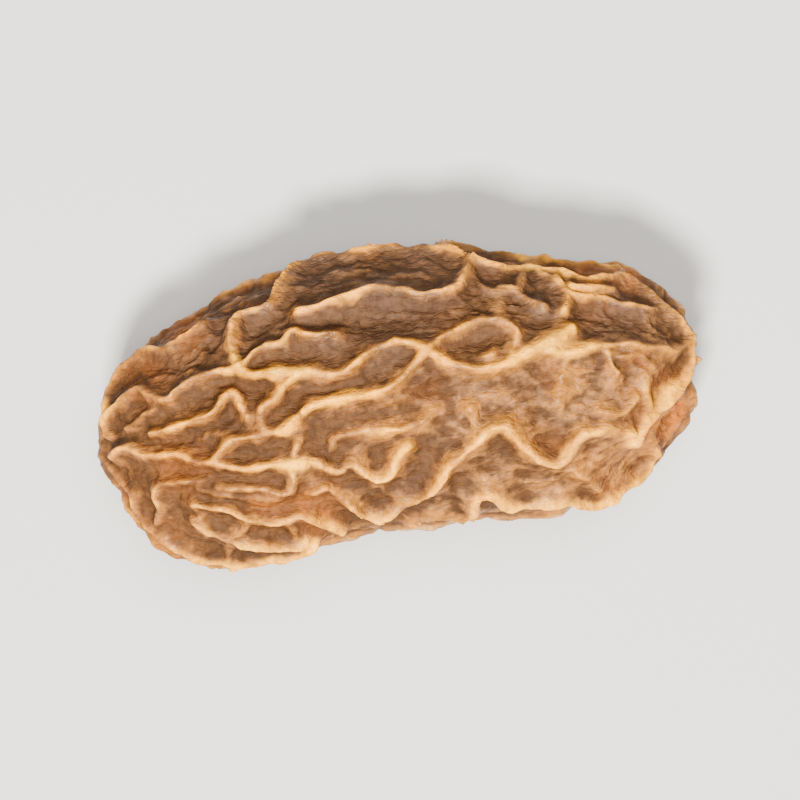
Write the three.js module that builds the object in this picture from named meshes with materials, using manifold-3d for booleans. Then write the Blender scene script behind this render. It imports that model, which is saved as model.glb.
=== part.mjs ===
// A dried date lying on its side: one wrinkled fruit, in millimetres, +Z up.
// Its blossom end (the apex) is at -X and its stem end at +X. The origin is under its middle, on the
// surface that it lies on. The skin is a soft rounded body with raised folds along it. The folds of the
// upper side follow a real date, crest by crest, and the folds of the underside grow by a rule.
import * as THREE from "three";
import { mergeVertices } from "three/addons/utils/BufferGeometryUtils.js";
import Module from "manifold-3d";

// Driving dimensions
const LENGTH = 36.8;
const WIDTH = 18.0;
const HEIGHT = 15.6;
const FOLD_HEIGHT = 1.15;
const FLAT_DEPTH = 0.35;

// The body under the folds: powers above 2 make its ends and its section fuller than an ellipse, two corners
// are fuller still, the near one at the apex and the far one at the stem, and the stem half is slimmer
const OUTLINE_POWER = 2.7;
const CORNER_FULLNESS = 0.6;
const SECTION_POWER = 2.35;
const STEM_SLIMNESS = 0.08;
const HALF_LENGTH = LENGTH / 2 - FOLD_HEIGHT * 0.9;
const HALF_WIDTH = WIDTH / 2 - FOLD_HEIGHT;
const HALF_HEIGHT = (HEIGHT + FLAT_DEPTH) / 2 - FOLD_HEIGHT;
const MIDDLE_HEIGHT = HALF_HEIGHT + FOLD_HEIGHT - FLAT_DEPTH;
const SKIN_DETAIL = 22;

// The middle line, seen from above: where it starts at the apex, and two soft steps to the side
const SWAY_START = -1.0;
const SWAY_STEPS = [
  { at: -6.5, span: 2.5, shift: 2.0 },
  { at: 6.0, span: 2.5, shift: -0.9 },
];

// Where the far side (1) or the near side (-1) of the outline stands further out or in
const SIDE_BULGES = [
  { at: -9.0, span: 3.0, side: 1, outwards: 0.6 },
  { at: 15.0, span: 3.0, side: 1, outwards: 0.5 },
  { at: -17.2, span: 1.8, side: -1, outwards: -4.3 },
  { at: -12.0, span: 1.8, side: -1, outwards: -0.4 },
  { at: 13.6, span: 2.5, side: -1, outwards: 0.9 },
  { at: 18.5, span: 2.0, side: -1, outwards: -1.8 },
];

// The spot that the date lies on, where its folds are pressed together
const REST_HALF_LENGTH = 3.2;
const REST_HALF_WIDTH = 1.8;
const REST_Y = 0.3;

// Fold shape: a narrow rounded crest that runs out into a hollow valley
const CREST_WIDTH = 0.6;
const CREST_ROUND = 0.25;
const CREST_BLEND = 5;
const CREST_DRAW = 0.7;
const CREST_DRAW_REACH = 0.5;
const PATH_STEPS = 3;
const PLAN_ROUNDS = 30;

// The stem scar: the oblique end face, its floor over the body, its ring and the pit in its middle
const SCAR_CENTRE = new THREE.Vector3(15.5, -1.8, MIDDLE_HEIGHT + 1.35);
const SCAR_FACING = new THREE.Vector3(0.71, -0.58, 0.39).normalize();
const SCAR_RADIUS = 1.9;
const SCAR_FLOOR = 0.35;
const SCAR_RING = 0.45;
const SCAR_PIT = 0.45;

// The apex, where the folds run together into a blunt cap
const APEX = new THREE.Vector3(-17.1, -1.0, MIDDLE_HEIGHT);
const CAP_RADIUS = 2.3;
const CAP_SHARE = 0.85;

// Folds that grow on the underside
const GROWN_TRIES = 900;
const GROWN_SPACING = 2.1;
const GROWN_JOIN = 0.8;
const GROWN_STEP = 1.1;
const GROWN_STEPS = 12;
const GROWN_TURN = 1.5;
const GROWN_LIMIT = 0.12;
const GROWN_SEED = 7;

// Crests of the upper side, seen from above: height and width are shares of the full fold
const CRESTS = {
  farShoulder: { high: 1.0, wide: 1.0, path: [[-9.3, 3.3], [-9.8, 4.6], [-9.0, 6.5], [-7.3, 6.9],
    [-6.6, 8.0], [-5.1, 9.3], [-3.9, 9.6], [0.4, 9.7], [3.4, 9.4], [4.9, 8.5]] },
  farSecond: { high: 1.0, wide: 1.0, path: [[-5.6, 6.4], [-4.5, 6.5], [-2.0, 7.2], [-0.6, 7.4],
    [0.9, 7.1], [2.4, 6.7], [4.1, 7.1], [4.9, 8.5]] },
  farRight: { high: 0.9, wide: 1.1, path: [[4.9, 8.5], [6.8, 8.1], [8.8, 7.9], [10.4, 7.4], [12.0, 7.0],
    [13.4, 6.9], [14.5, 7.0], [15.5, 6.3], [16.4, 5.3], [17.4, 3.9], [18.0, 2.6]] },
  farKnot: { high: 0.7, wide: 1.0, path: [[6.4, 6.9], [7.5, 6.6], [7.9, 7.4], [8.4, 8.1]] },
  farMass: { high: 0.9, wide: 1.6, path: [[10.8, 6.7], [12.2, 6.4], [13.4, 6.2]] },
  farDrop: { high: 0.9, wide: 1.0, path: [[9.8, 7.1], [10.5, 6.2], [10.3, 5.2]] },
  farCorner: { high: 0.8, wide: 1.0, path: [[8.8, 7.8], [10.0, 6.6], [11.2, 6.1], [12.8, 5.8],
    [14.4, 5.4], [15.6, 5.1], [16.8, 4.7]] },
  innerShoulder: { high: 0.9, wide: 0.8, path: [[-9.3, 3.3], [-8.4, 4.1], [-6.8, 4.5], [-6.1, 5.3],
    [-5.2, 4.9], [-3.4, 4.7]] },
  longMiddle: { high: 1.0, wide: 1.1, path: [[-9.3, 3.3], [-8.3, 2.7], [-5.5, 2.6], [-3.2, 2.3],
    [-1.8, 3.2], [-0.6, 3.8], [0.5, 3.9], [1.9, 3.3], [3.2, 2.2], [4.6, 1.7], [6.1, 2.0], [8.5, 2.8],
    [10.6, 3.9]] },
  sBend: { high: 1.0, wide: 1.1, path: [[-5.7, 2.5], [-6.8, 1.8], [-7.3, 1.1], [-8.4, 0.4], [-8.3, -0.6],
    [-7.1, -0.9], [-6.3, -0.4]] },
  innerSlant: { high: 1.0, wide: 1.0, path: [[1.7, 3.2], [1.0, 2.3], [-0.6, 1.0], [-4.4, 0.6], [-5.7, 0.1]] },
  apexUpper: { high: 0.9, wide: 0.8, path: [[-18.1, -0.4], [-18.1, 0.7], [-17.4, 1.5], [-15.9, 2.6],
    [-14.7, 1.8], [-13.7, 2.0], [-11.6, 2.9], [-9.3, 3.3]] },
  apexBranch: { high: 0.5, wide: 0.8, path: [[-14.6, 1.7], [-15.2, 0.9], [-17.0, 0.2]] },
  apexRim: { high: 0.9, wide: 1.0, path: [[-18.1, 0.7], [-18.0, 1.7], [-17.5, 3.0], [-15.5, 4.9],
    [-13.5, 5.3], [-11.1, 6.3]] },
  apexPeak: { high: 0.9, wide: 0.8, path: [[-15.1, -0.4], [-13.4, 0.0], [-11.8, 0.3], [-10.9, 0.7],
    [-9.9, 1.8], [-9.4, 1.0], [-9.1, 0.2]] },
  apexLow: { high: 0.7, wide: 0.9, path: [[-12.0, -3.5], [-14.4, -3.5], [-15.3, -4.1], [-15.0, -5.3],
    [-15.4, -6.5]] },
  apexEdge: { high: 0.8, wide: 1.0, path: [[-18.0, -2.2], [-17.4, -3.4], [-16.6, -4.4]] },
  lowLong: { high: 0.9, wide: 0.8, path: [[-17.6, -1.8], [-16.7, -1.2], [-15.5, -1.8], [-13.9, -1.7],
    [-12.4, -2.4], [-11.2, -2.5], [-9.6, -3.0], [-5.9, -2.8], [-4.1, -3.7], [-3.2, -3.4], [-1.7, -4.5],
    [-0.9, -4.1], [-0.5, -3.1], [0.3, -2.5]] },
  lowArch: { high: 0.9, wide: 0.8, path: [[-11.3, -2.4], [-10.6, -1.5], [-9.6, -1.0], [-8.1, -1.0]] },
  nodeUp: { high: 0.9, wide: 1.0, path: [[-6.8, -3.0], [-6.5, -2.3], [-6.2, -1.6]] },
  nodeDown: { high: 0.9, wide: 0.9, path: [[-6.8, -3.0], [-6.9, -4.1], [-7.3, -4.8], [-8.8, -4.5],
    [-11.2, -4.1]] },
  middleDome: { high: 0.55, wide: 0.8, path: [[-4.4, -2.5], [-4.1, -1.8], [-2.5, -1.4], [0.5, -1.5],
    [1.8, -0.5]] },
  hook: { high: 1.0, wide: 0.9, path: [[-3.4, -5.9], [-2.9, -6.6], [-1.9, -6.9], [-0.8, -6.6],
    [0.0, -6.2], [1.6, -5.4], [2.8, -3.8]] },
  zigZag: { high: 1.0, wide: 1.0, path: [[2.8, -3.8], [4.0, -2.7], [5.9, -1.8], [6.5, -2.3], [7.4, -3.5],
    [9.0, -4.5], [10.2, -3.0], [11.2, -2.6], [13.6, -2.8]] },
  zigBranch: { high: 0.6, wide: 0.8, path: [[4.2, -2.5], [4.3, -1.4], [4.0, -0.5]] },
  nearLeft: { high: 1.0, wide: 0.9, path: [[-12.8, -5.0], [-11.2, -5.5], [-9.8, -6.1], [-8.4, -6.4],
    [-6.4, -6.5], [-5.2, -7.1], [-4.2, -7.4]] },
  nearSecond: { high: 1.0, wide: 0.8, path: [[-12.8, -6.1], [-12.0, -6.9], [-10.8, -7.4], [-9.6, -7.8],
    [-8.2, -8.1], [-6.8, -7.9]] },
  nearEdge: { high: 1.0, wide: 1.0, path: [[-16.6, -4.4], [-16.0, -5.8], [-14.8, -7.2], [-12.4, -8.5],
    [-10.0, -9.0], [-7.6, -8.8], [-6.2, -8.2]] },
  nearMiddle: { high: 0.8, wide: 1.0, path: [[-0.2, -7.7], [1.2, -7.2], [3.2, -7.6], [3.9, -7.1]] },
  nearRight: { high: 1.0, wide: 1.0, path: [[3.8, -7.4], [3.9, -6.6], [4.6, -6.0], [5.2, -6.2],
    [5.8, -6.8], [7.2, -7.0], [9.2, -6.9], [10.8, -7.3], [12.4, -7.1], [13.6, -6.5], [14.5, -5.7],
    [15.1, -4.7], [15.3, -3.7]] },
  dipToRim: { high: 0.45, wide: 0.8, path: [[9.0, -4.5], [10.3, -5.4], [11.7, -6.8]] },
  eyeRing: { high: 0.8, wide: 0.9, path: [[1.9, 3.3], [3.0, 4.0], [4.2, 4.6], [6.2, 4.8], [7.3, 4.0],
    [7.1, 3.1], [6.4, 2.2]] },
  eyeSpot: { high: 0.8, wide: 0.8, path: [[5.2, 2.5], [5.7, 2.8]] },
  stemUpper: { high: 0.8, wide: 1.3, path: [[8.8, 2.8], [10.2, 2.4], [11.6, 2.7], [13.6, 2.6],
    [15.4, 2.2], [16.8, 2.1], [17.9, 2.4]] },
  stemUpperDrop: { high: 0.7, wide: 0.9, path: [[12.5, 2.3], [12.8, 1.4], [13.2, 0.8]] },
  stemBand: { high: 1.0, wide: 1.2, path: [[18.0, 2.6], [17.9, 1.2], [17.2, 0.2], [16.3, -0.5],
    [15.4, -1.5], [14.4, -2.5], [13.6, -3.5]] },
  stemInner: { high: 0.7, wide: 0.9, path: [[15.0, 0.8], [14.9, -0.6], [15.3, -1.6]] },
  stemKnots: { high: 0.6, wide: 0.9, path: [[12.0, -1.4], [13.2, -1.5], [14.2, -0.6]] },
  fieldCrease: { high: 0.45, wide: 1.0, path: [[10.2, 2.0], [9.8, 0.6], [9.6, -0.5]] },
  farLink: { high: 0.6, wide: 0.9, path: [[4.9, 8.5], [5.0, 7.4], [6.0, 6.8], [7.5, 6.5], [8.4, 6.0],
    [9.2, 5.5]] },
  hookStart: { high: 0.9, wide: 0.8, path: [[-6.0, -4.8], [-5.0, -4.6], [-4.2, -5.0], [-3.4, -5.9]] },
  nodeMass: { high: 1.0, wide: 2.2, path: [[-7.4, -2.9], [-6.1, -2.9]] },
  nearLinks: { high: 0.7, wide: 0.8, path: [[-12.8, -5.0], [-12.5, -5.8], [-12.0, -6.9]] },
  nearCross: { high: 0.7, wide: 0.8, path: [[-9.8, -6.1], [-10.1, -6.9], [-10.8, -7.4], [-11.2, -8.7]] },
  nearLadder: { high: 0.6, wide: 0.8, path: [[-7.7, -6.4], [-7.2, -7.2], [-7.4, -8.0]] },
  nearSpur: { high: 0.7, wide: 0.8, path: [[-12.4, -4.0], [-11.0, -4.7], [-9.4, -5.0], [-7.8, -5.2]] },
  stemMark: { high: 0.6, wide: 0.8, path: [[12.8, 2.1], [13.8, 1.7], [14.7, 1.8], [15.4, 1.1]] },
};

// Deep hollows of the upper side, seen from above
const HOLLOWS = [
  { x: -0.4, y: 5.5, along: 4.6, across: 1.2, deep: 0.5 },
  { x: 13.2, y: 4.4, along: 2.6, across: 1.3, deep: 0.6 },
  { x: -13.4, y: 3.6, along: 2.2, across: 1.0, deep: 0.45 },
  { x: -7.9, y: 5.4, along: 1.1, across: 0.7, deep: 0.35 },
  { x: 8.9, y: -2.8, along: 1.0, across: 0.9, deep: 0.35 },
  { x: 1.9, y: 0.8, along: 1.3, across: 0.5, deep: 0.35 },
  { x: -7.0, y: -5.4, along: 3.0, across: 0.45, deep: 0.3 },
  { x: 4.7, y: 3.6, along: 1.1, across: 0.6, deep: 0.35 },
];

function softStep(from, to, value) {
  return THREE.MathUtils.smoothstep(value, from, to);
}

function sway(x) {
  let y = SWAY_START;
  for (const step of SWAY_STEPS) y += (step.shift / 2) * (1 + Math.tanh((x - step.at) / step.span));
  return y;
}

// The width at x as a share of the width at the apex half
function slimness(x) {
  return 1 - (STEM_SLIMNESS / 2) * (1 + Math.tanh((x - 6) / 4));
}

// How far the outline's bulges move a point, measured from the middle line, to the side
function sideBulge({ x, y }) {
  let shift = 0;
  for (const bulge of SIDE_BULGES) {
    const share = THREE.MathUtils.clamp(bulge.side * y / HALF_WIDTH, 0, 1);
    shift += bulge.side * bulge.outwards * share * Math.exp(-(((x - bulge.at) / bulge.span) ** 2));
  }
  return shift;
}

// The stem end is pressed back to the oblique plane of the scar
function pressStemEnd(point) {
  const past = point.clone().sub(SCAR_CENTRE).dot(SCAR_FACING);
  const push = 0.85 * (past + Math.hypot(past, 0.35)) / 2;
  return point.addScaledVector(SCAR_FACING, -push);
}

// The power that rounds the body's ends, in a given direction from its middle
function outlinePower({ x, y, z }) {
  const corner = (1 + Math.sign(x) * y / Math.max(Math.hypot(y, z), 1e-9)) / 2;
  return OUTLINE_POWER + CORNER_FULLNESS * corner ** 2;
}

// How far a direction turns from the long axis, measured round the body's section
function acrossShare({ y, z }) {
  return (Math.abs(y) ** SECTION_POWER + Math.abs(z) ** SECTION_POWER) ** (1 / SECTION_POWER);
}

// The point of the smooth body in a given direction from its middle
function bodyPoint(direction) {
  const { x, y, z } = direction;
  const power = outlinePower(direction);
  const reach = (Math.abs(x) ** power + acrossShare(direction) ** power) ** (-1 / power);
  const point = new THREE.Vector3(x * HALF_LENGTH, y * HALF_WIDTH, z * HALF_HEIGHT).multiplyScalar(reach);
  point.y = point.y * slimness(point.x) + sideBulge(point) + sway(point.x);
  point.z += MIDDLE_HEIGHT;
  return pressStemEnd(point);
}

// The outward normal of the smooth body in a given direction from its middle
function bodyNormal(direction) {
  const power = outlinePower(direction);
  const slope = acrossShare(direction) ** (power - SECTION_POWER);
  return new THREE.Vector3(
    Math.sign(direction.x) * Math.abs(direction.x) ** (power - 1) / HALF_LENGTH,
    Math.sign(direction.y) * slope * Math.abs(direction.y) ** (SECTION_POWER - 1) / HALF_WIDTH,
    Math.sign(direction.z) * slope * Math.abs(direction.z) ** (SECTION_POWER - 1) / HALF_HEIGHT,
  ).normalize();
}

// The point of the smooth body whose crest, raised on it, stands over a point of the plan
function overPlan([planX, planY]) {
  const direction = new THREE.Vector3(planX / HALF_LENGTH, (planY - sway(planX)) / HALF_WIDTH, 1);
  for (let i = 0; i < PLAN_ROUNDS; i += 1) {
    direction.z = Math.max(0.05, 1 - Math.hypot(direction.x, direction.y) ** 3);
    const crest = bodyPoint(direction).addScaledVector(bodyNormal(direction), FOLD_HEIGHT);
    direction.x += 0.7 * (planX - crest.x) / HALF_LENGTH;
    direction.y += 0.7 * (planY - crest.y) / HALF_WIDTH;
  }
  return bodyPoint(direction);
}

// A soft curve through the points of a path
function smoothPath(path) {
  return new THREE.CatmullRomCurve3(path, false, "catmullrom", 0.5).getPoints(PATH_STEPS * (path.length - 1));
}

function nearestOnPath(point, path) {
  const nearest = { distance: Infinity, point: new THREE.Vector3() };
  const line = new THREE.Line3();
  const foot = new THREE.Vector3();
  for (let i = 1; i < path.length; i += 1) {
    line.set(path[i - 1], path[i]);
    line.closestPointToPoint(point, true, foot);
    const distance = foot.distanceTo(point);
    if (distance < nearest.distance) {
      nearest.distance = distance;
      nearest.point.copy(foot);
    }
  }
  return nearest;
}

function nearestFold(point, folds) {
  const nearest = folds.map((fold) => nearestOnPath(point, fold.path));
  return nearest.reduce((best, one) => (one.distance < best.distance ? one : best));
}

function makeRandom(seed) {
  let state = seed;
  return () => {
    state = (Math.imul(state, 1664525) + 1013904223) >>> 0;
    return state / 4294967296;
  };
}

// One step over the body: lengthwise and around, from one direction to the next
function stepOver(direction, lengthwise, around) {
  const aroundAxis = new THREE.Vector3(0, -direction.z, direction.y).normalize();
  const longAxis = new THREE.Vector3().crossVectors(aroundAxis, direction).normalize();
  const longScale = Math.hypot(longAxis.x * HALF_LENGTH, Math.hypot(longAxis.y, longAxis.z) * HALF_WIDTH);
  return direction.clone()
    .addScaledVector(longAxis, lengthwise / longScale)
    .addScaledVector(aroundAxis, around / HALF_WIDTH)
    .normalize();
}

// One end of a grown fold: it wanders lengthwise until it meets another fold or leaves the underside
function wander(start, forward, folds, random) {
  const path = [];
  let direction = start;
  let heading = 0;
  for (let i = 0; i < GROWN_STEPS; i += 1) {
    heading = 0.35 * heading + GROWN_TURN * (random() - 0.5);
    direction = stepOver(direction, forward * GROWN_STEP * Math.cos(heading), GROWN_STEP * Math.sin(heading));
    if (direction.z > GROWN_LIMIT || Math.abs(direction.x) > 0.995) break;
    const point = bodyPoint(direction);
    const meeting = nearestFold(point, folds);
    if (meeting.distance < GROWN_JOIN) {
      path.push(meeting.point);
      break;
    }
    path.push(point);
  }
  return path;
}

function growFolds(folds) {
  const random = makeRandom(GROWN_SEED);
  for (let i = 0; i < GROWN_TRIES; i += 1) {
    const turn = 2 * Math.PI * random();
    const x = 2 * random() - 1;
    const ring = Math.sqrt(1 - x * x);
    const start = new THREE.Vector3(x, ring * Math.cos(turn), ring * Math.sin(turn));
    if (start.z > GROWN_LIMIT || nearestFold(bodyPoint(start), folds).distance < GROWN_SPACING) continue;
    const back = wander(start, -1, folds, random).reverse();
    const ahead = wander(start, 1, folds, random);
    const path = [...back, bodyPoint(start), ...ahead];
    if (path.length < 4) continue;
    folds.push({ high: 0.7 + 0.3 * random(), wide: 0.8 + 0.35 * random(), path });
  }
  return folds;
}

function allFolds() {
  const read = Object.values(CRESTS).map((crest) => ({ ...crest, path: crest.path.map(overPlan) }));
  return growFolds(read).map((fold) => ({ ...fold, path: smoothPath(fold.path) }));
}

// How strongly each fold raises a point, and the point of its crest nearest to it
function foldShares(point, folds) {
  return folds.map((fold) => {
    const crest = nearestOnPath(point, fold.path);
    const away = Math.hypot(crest.distance, CREST_ROUND) - CREST_ROUND;
    return { crest, share: (fold.high * Math.exp(-away / (CREST_WIDTH * fold.wide))) ** CREST_BLEND };
  });
}

function foldRelief(point, folds) {
  const total = foldShares(point, folds).reduce((sum, { share }) => sum + share, 0);
  const fold = THREE.MathUtils.lerp(total ** (1 / CREST_BLEND), CAP_SHARE, capShare(point));
  return FOLD_HEIGHT * THREE.MathUtils.lerp(1, fold, freeShare(point));
}

// Moves a point of the mesh towards the crests beside it, so that the edges of the mesh run along them
function drawToCrests(point, folds) {
  const move = new THREE.Vector3();
  let total = 0;
  for (const { crest, share } of foldShares(point, folds)) {
    const strength = CREST_DRAW * Math.exp(-((crest.distance / CREST_DRAW_REACH) ** 2));
    move.addScaledVector(crest.point.sub(point), strength * share);
    total += share;
  }
  return point.addScaledVector(move, 1 / total);
}

function hollowRelief(point) {
  let depth = 0;
  for (const hollow of HOLLOWS) {
    const spread = ((point.x - hollow.x) / hollow.along) ** 2 + ((point.y - hollow.y) / hollow.across) ** 2;
    if (point.z > MIDDLE_HEIGHT) depth += hollow.deep * Math.exp(-spread);
  }
  return -depth;
}

// How freely the folds stand: none where the date lies on them pressed together
function freeShare(point) {
  const spread = (point.x / REST_HALF_LENGTH) ** 2 + ((point.y - REST_Y) / REST_HALF_WIDTH) ** 2;
  return point.z < MIDDLE_HEIGHT ? softStep(0.5, 2, spread) : 1;
}

// How far a point lies in the blunt cap of the apex
function capShare(point) {
  return 1 - softStep(0.25, 1, point.distanceTo(APEX) / CAP_RADIUS);
}

// The scar's own relief, and how far in the scar a point is
function scarShape(point) {
  const offset = point.clone().sub(SCAR_CENTRE);
  const along = offset.dot(SCAR_FACING);
  const radius = offset.addScaledVector(SCAR_FACING, -along).length();
  const onFace = softStep(-2.2, -0.8, along);
  const inside = onFace * (1 - softStep(0.75, 1.25, radius / SCAR_RADIUS));
  const ring = SCAR_RING * Math.exp(-(((radius - SCAR_RADIUS) / 0.45) ** 2));
  const pit = SCAR_PIT * Math.exp(-((radius / 0.7) ** 2));
  return { relief: SCAR_FLOOR * inside + onFace * (ring - pit), inside };
}

function wrinkledSkin(folds) {
  const skin = new THREE.IcosahedronGeometry(1, SKIN_DETAIL);
  skin.deleteAttribute("normal");
  skin.deleteAttribute("uv");
  const geometry = mergeVertices(skin, 1e-5);
  const position = geometry.attributes.position;
  const point = new THREE.Vector3();
  for (let i = 0; i < position.count; i += 1) {
    const { x, y, z } = bodyPoint(point.fromBufferAttribute(position, i).normalize());
    position.setXYZ(i, x, y, z);
  }
  geometry.computeVertexNormals();
  const normal = new THREE.Vector3();
  for (let i = 0; i < position.count; i += 1) {
    point.fromBufferAttribute(position, i);
    normal.fromBufferAttribute(geometry.attributes.normal, i);
    drawToCrests(point, folds);
    const scar = scarShape(point);
    const folded = foldRelief(point, folds) + hollowRelief(point);
    point.addScaledVector(normal, folded * (1 - scar.inside) + scar.relief);
    position.setXYZ(i, point.x, point.y, point.z);
  }
  geometry.deleteAttribute("normal");
  return geometry;
}

function toSolid(wasm, geometry) {
  return new wasm.Manifold(new wasm.Mesh({
    numProp: 3,
    vertProperties: Float32Array.from(geometry.attributes.position.array),
    triVerts: Uint32Array.from(geometry.index.array),
  }));
}

function toGeometry(solid) {
  const mesh = solid.getMesh();
  const geometry = new THREE.BufferGeometry();
  geometry.setAttribute("position", new THREE.BufferAttribute(mesh.vertProperties, 3));
  geometry.setIndex(new THREE.BufferAttribute(mesh.triVerts, 1));
  geometry.computeVertexNormals();
  return geometry;
}

// The flat spot that the date lies on is cut level at the height of the surface, and the origin is put
// under the middle of the whole outline
async function restingDate() {
  const wasm = await Module();
  wasm.setup();
  const below = new THREE.BoxGeometry(LENGTH, WIDTH, HEIGHT).translate(0, 0, -HEIGHT / 2);
  below.deleteAttribute("normal");
  below.deleteAttribute("uv");
  const solid = toSolid(wasm, wrinkledSkin(allFolds())).subtract(toSolid(wasm, mergeVertices(below)));
  const geometry = toGeometry(solid);
  geometry.computeBoundingBox();
  const middle = geometry.boundingBox.getCenter(new THREE.Vector3());
  return geometry.translate(-middle.x, -middle.y, 0);
}

const skinMaterial = new THREE.MeshStandardMaterial({ color: "#a9764f", roughness: 0.62, metalness: 0 });
const date = new THREE.Mesh(await restingDate(), skinMaterial);
date.name = "date";

const part = new THREE.Group();
part.add(date);

export default part;
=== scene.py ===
"""A dried date lying on a pale table, seen from straight above in soft daylight."""
import math

import bpy
import numpy as np
from bpy.props import FloatProperty, FloatVectorProperty, PointerProperty
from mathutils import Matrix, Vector, noise


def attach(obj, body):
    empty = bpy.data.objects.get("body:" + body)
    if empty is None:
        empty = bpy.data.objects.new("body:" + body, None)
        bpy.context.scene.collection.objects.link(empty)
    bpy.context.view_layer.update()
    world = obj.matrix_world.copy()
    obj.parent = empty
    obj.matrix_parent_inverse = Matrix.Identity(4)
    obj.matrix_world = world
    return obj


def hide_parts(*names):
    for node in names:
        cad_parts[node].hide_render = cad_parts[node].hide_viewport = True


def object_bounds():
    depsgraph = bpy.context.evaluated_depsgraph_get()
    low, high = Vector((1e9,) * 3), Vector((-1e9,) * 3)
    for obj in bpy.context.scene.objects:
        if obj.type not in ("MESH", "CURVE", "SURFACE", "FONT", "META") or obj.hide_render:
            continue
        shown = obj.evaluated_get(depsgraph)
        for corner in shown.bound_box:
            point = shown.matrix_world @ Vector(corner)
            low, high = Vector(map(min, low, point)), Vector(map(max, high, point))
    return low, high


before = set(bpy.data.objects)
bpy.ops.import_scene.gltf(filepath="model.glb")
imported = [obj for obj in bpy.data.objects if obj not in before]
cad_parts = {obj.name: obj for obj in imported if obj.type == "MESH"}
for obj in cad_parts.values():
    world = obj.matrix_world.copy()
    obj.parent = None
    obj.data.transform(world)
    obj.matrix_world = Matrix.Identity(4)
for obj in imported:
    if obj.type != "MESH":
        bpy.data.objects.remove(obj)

bl_info = {
    "name": "Dried date",
    "version": (1, 0, 0),
    "blender": (4, 5, 0),
    "location": "View3D > Sidebar > Dried date",
    "description": "Models one wrinkled dried date and the table and daylight round it",
    "category": "Add Mesh",
}

CAD_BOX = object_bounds()
MM = 0.001

# The date's sizes, in millimetres
LENGTH = 36.8
WIDTH = 18.0
HEIGHT = 15.6
FOLD_HEIGHT = 1.15
END_FOLD_SHARE = 0.9
FLAT_DEPTH = 0.35

# The body under the folds: powers above 2 make its ends and its section fuller than an ellipse, and two
# corners are fuller still, the near one at the apex and the far one at the stem
OUTLINE_POWER = 2.7
CORNER_FULLNESS = 0.6
SECTION_POWER = 2.35
HALF = np.array([
    LENGTH / 2 - FOLD_HEIGHT * END_FOLD_SHARE,
    WIDTH / 2 - FOLD_HEIGHT,
    (HEIGHT + FLAT_DEPTH) / 2 - FOLD_HEIGHT,
])
MIDDLE_HEIGHT = HALF[2] + FOLD_HEIGHT - FLAT_DEPTH

# The stem half is slimmer: by how much, and where it begins and how softly
STEM_SLIMNESS = 0.08
SLIM_FROM = 6
SLIM_SPAN = 4

# The middle line, seen from above: where it starts, and its soft steps to the side (at, span, shift)
SWAY_START = -1.0
SWAY_STEPS = [(-6.5, 2.5, 2.0), (6.0, 2.5, -0.9)]

# Where the far side (1) or the near side (-1) stands further out or in: at, span, side, outwards
SIDE_BULGES = [
    (-9.0, 3.0, 1, 0.6),
    (15.0, 3.0, 1, 0.5),
    (-17.2, 1.8, -1, -4.3),
    (-12.0, 1.8, -1, -0.4),
    (13.6, 2.5, -1, 0.9),
    (18.5, 2.0, -1, -1.8),
]

# The spot that the date lies on, where its folds are pressed together
REST_HALF_LENGTH = 3.2
REST_HALF_WIDTH = 1.8
REST_Y = 0.3
REST_FADE = (0.5, 2)

# Fold shape: a rounded crest that runs out into a hollow valley, with a narrower edge along its top
CREST_WIDTH = 0.55
CREST_ROUND = 0.16
CREST_REACH = 6
EDGE_WIDTH = 0.2
EDGE_ROUND = 0.09
EDGE_SHARE = 0.25
CREST_BLEND = 5
PATH_STEPS = 3

# How the crests read from above are laid on the body: rounds of correction, the share corrected in each,
# and the least rise of a direction, which keeps it on the upper side
PLAN_ROUNDS = 30
PLAN_GAIN = 0.7
LEAST_RISE = 0.05

# The number that all pushes of noise start from, so that every run makes the same date
NOISE_SEED = 4

# The stem scar: the oblique end face, its floor over the body, its ring and the pit in its middle
SCAR_CENTRE = np.array([15.5, -1.8, MIDDLE_HEIGHT + 1.35])
SCAR_FACING = np.array([0.71, -0.58, 0.39]) / np.linalg.norm([0.71, -0.58, 0.39])
SCAR_RADIUS = 1.9
SCAR_FLOOR = 0.35
SCAR_RING = 0.45
SCAR_RING_WIDTH = 0.45
SCAR_PIT = 0.45
SCAR_PIT_RADIUS = 0.7
SCAR_ROUGHNESS = 1.5

# How the scar fades out: behind its plane in millimetres, and past its edge in radii
SCAR_DEPTH_FADE = (-2.2, -0.8)
SCAR_EDGE_FADE = (0.75, 1.25)

# How far the stem end is pressed back to the scar's plane, and how softly
PRESS_SHARE = 0.85
PRESS_ROUND = 0.35

# The apex, where the folds run together into a blunt cap with a dimple
APEX = np.array([-17.1, -1.0, MIDDLE_HEIGHT])
CAP_RADIUS = 2.3
CAP_SHARE = 0.85
CAP_FADE = (0.25, 1)
CAP_DIMPLE = 0.15
DIMPLE_RADIUS = 0.6

# Folds that grow on the underside
GROWN = {
    "seed": 7, "tries": 900, "spacing": 2.1, "join": 0.8,
    "step": 1.1, "steps": 12, "turn": 1.5, "limit": 0.12,
}

# Low narrow folds that grow between the others, all over the skin
SECOND = {
    "seed": 11, "tries": 5000, "spacing": 0.95, "join": 0.4,
    "step": 0.55, "steps": 9, "turn": 1.9, "limit": 2,
}
SECOND_WIDTH = 0.3
SECOND_ROUND = 0.08

# A grown fold keeps a share of its heading at each step, has at least a few points, and ends before the
# very tips of the body
HEADING_KEPT = 0.35
LEAST_POINTS = 4
TIP_LIMIT = 0.995

# Where the low folds fade: the size of the noise that fades them, how sharply, and how fast to the stem
SECOND_PATCH = 3.5
SECOND_FADE = 0.35
SECOND_TO_STEM = 0.03

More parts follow.
